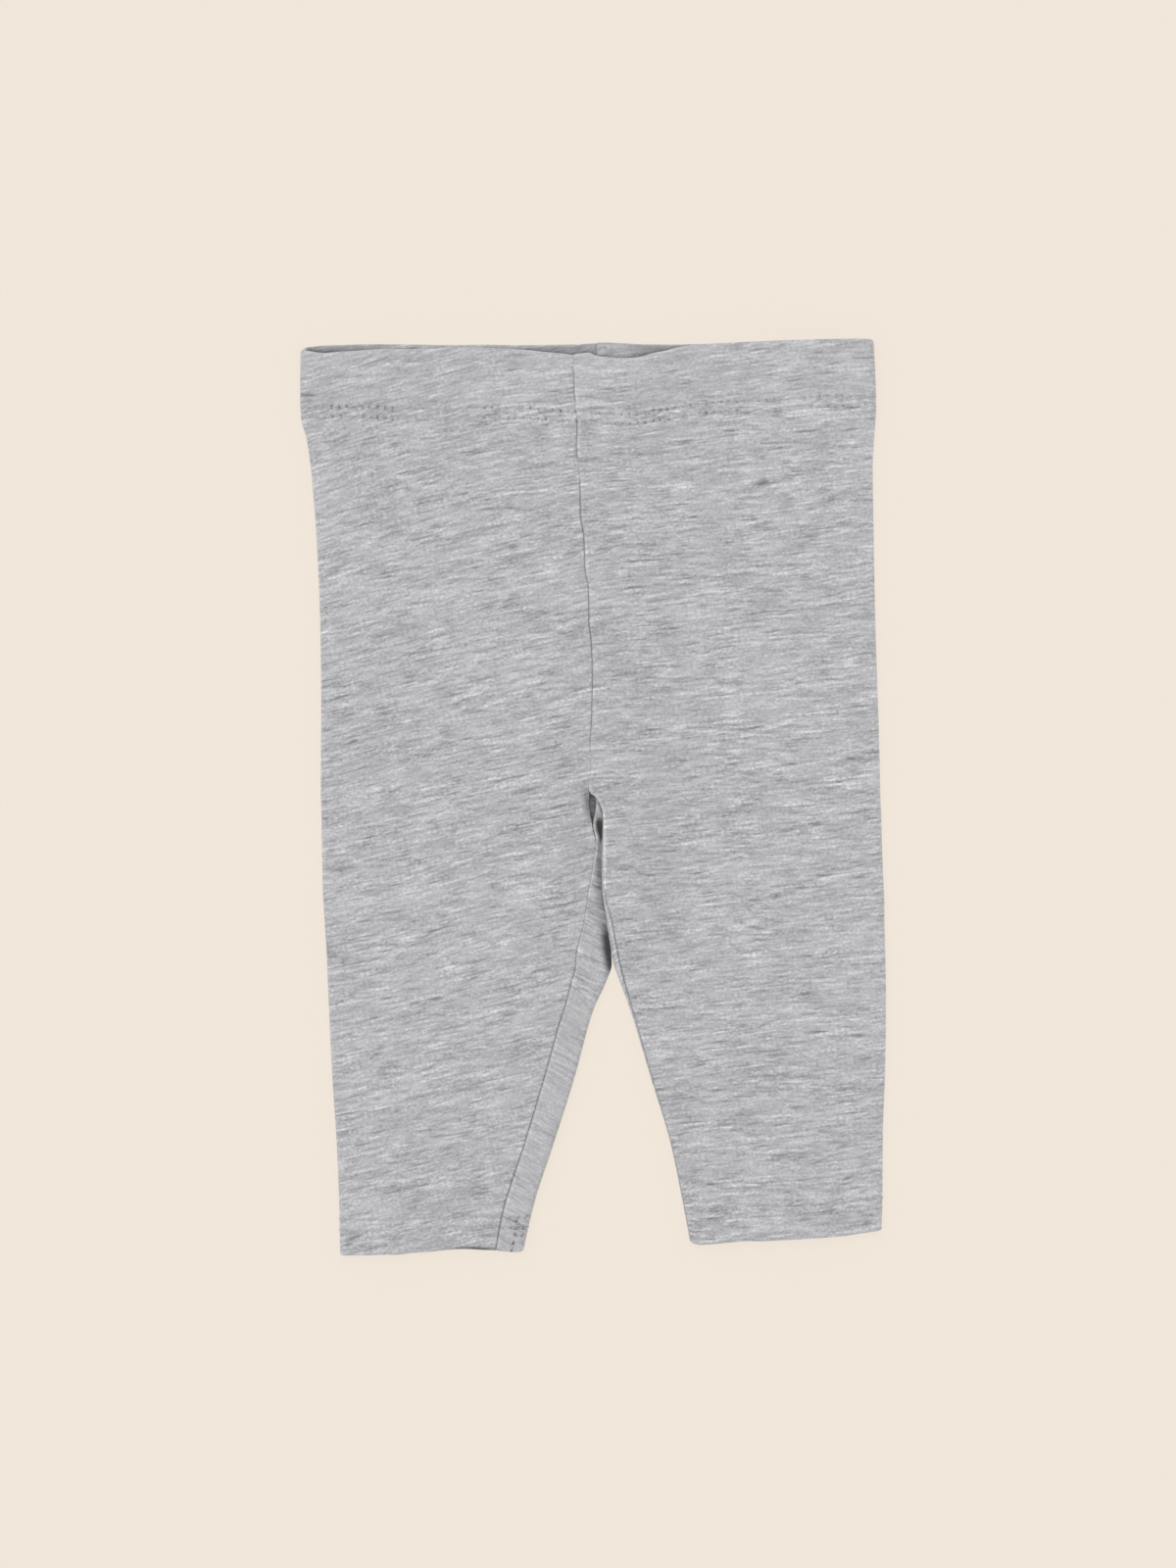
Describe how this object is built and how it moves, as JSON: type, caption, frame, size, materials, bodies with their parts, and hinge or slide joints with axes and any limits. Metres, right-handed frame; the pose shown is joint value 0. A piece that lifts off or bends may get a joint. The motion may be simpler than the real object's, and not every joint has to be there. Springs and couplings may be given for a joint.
{
  "type": "baby leggings",
  "caption": "Ankle-length baby leggings in marl jersey with an elastic waistband and stitched hems, laid flat with the front up.",
  "frame": {"origin": "centre of the garment's outline, on the surface that it lies on", "axes": "+X towards the wearer's left, +Y from the hems to the waist, +Z out of the surface"},
  "size_m": [0.2152, 0.3364, 0.0065],
  "materials": {
    "jersey": "matt single jersey in grey marl",
    "waistband_jersey": "the same jersey, doubled over the elastic",
    "hem_jersey": "the same jersey, turned up"
  },
  "bodies": {
    "root": {"right_leg": "jersey", "left_leg": "jersey", "right_waistband": "waistband_jersey", "left_waistband": "waistband_jersey", "right_hem": "hem_jersey", "left_hem": "hem_jersey"}
  },
  "joints": []
}
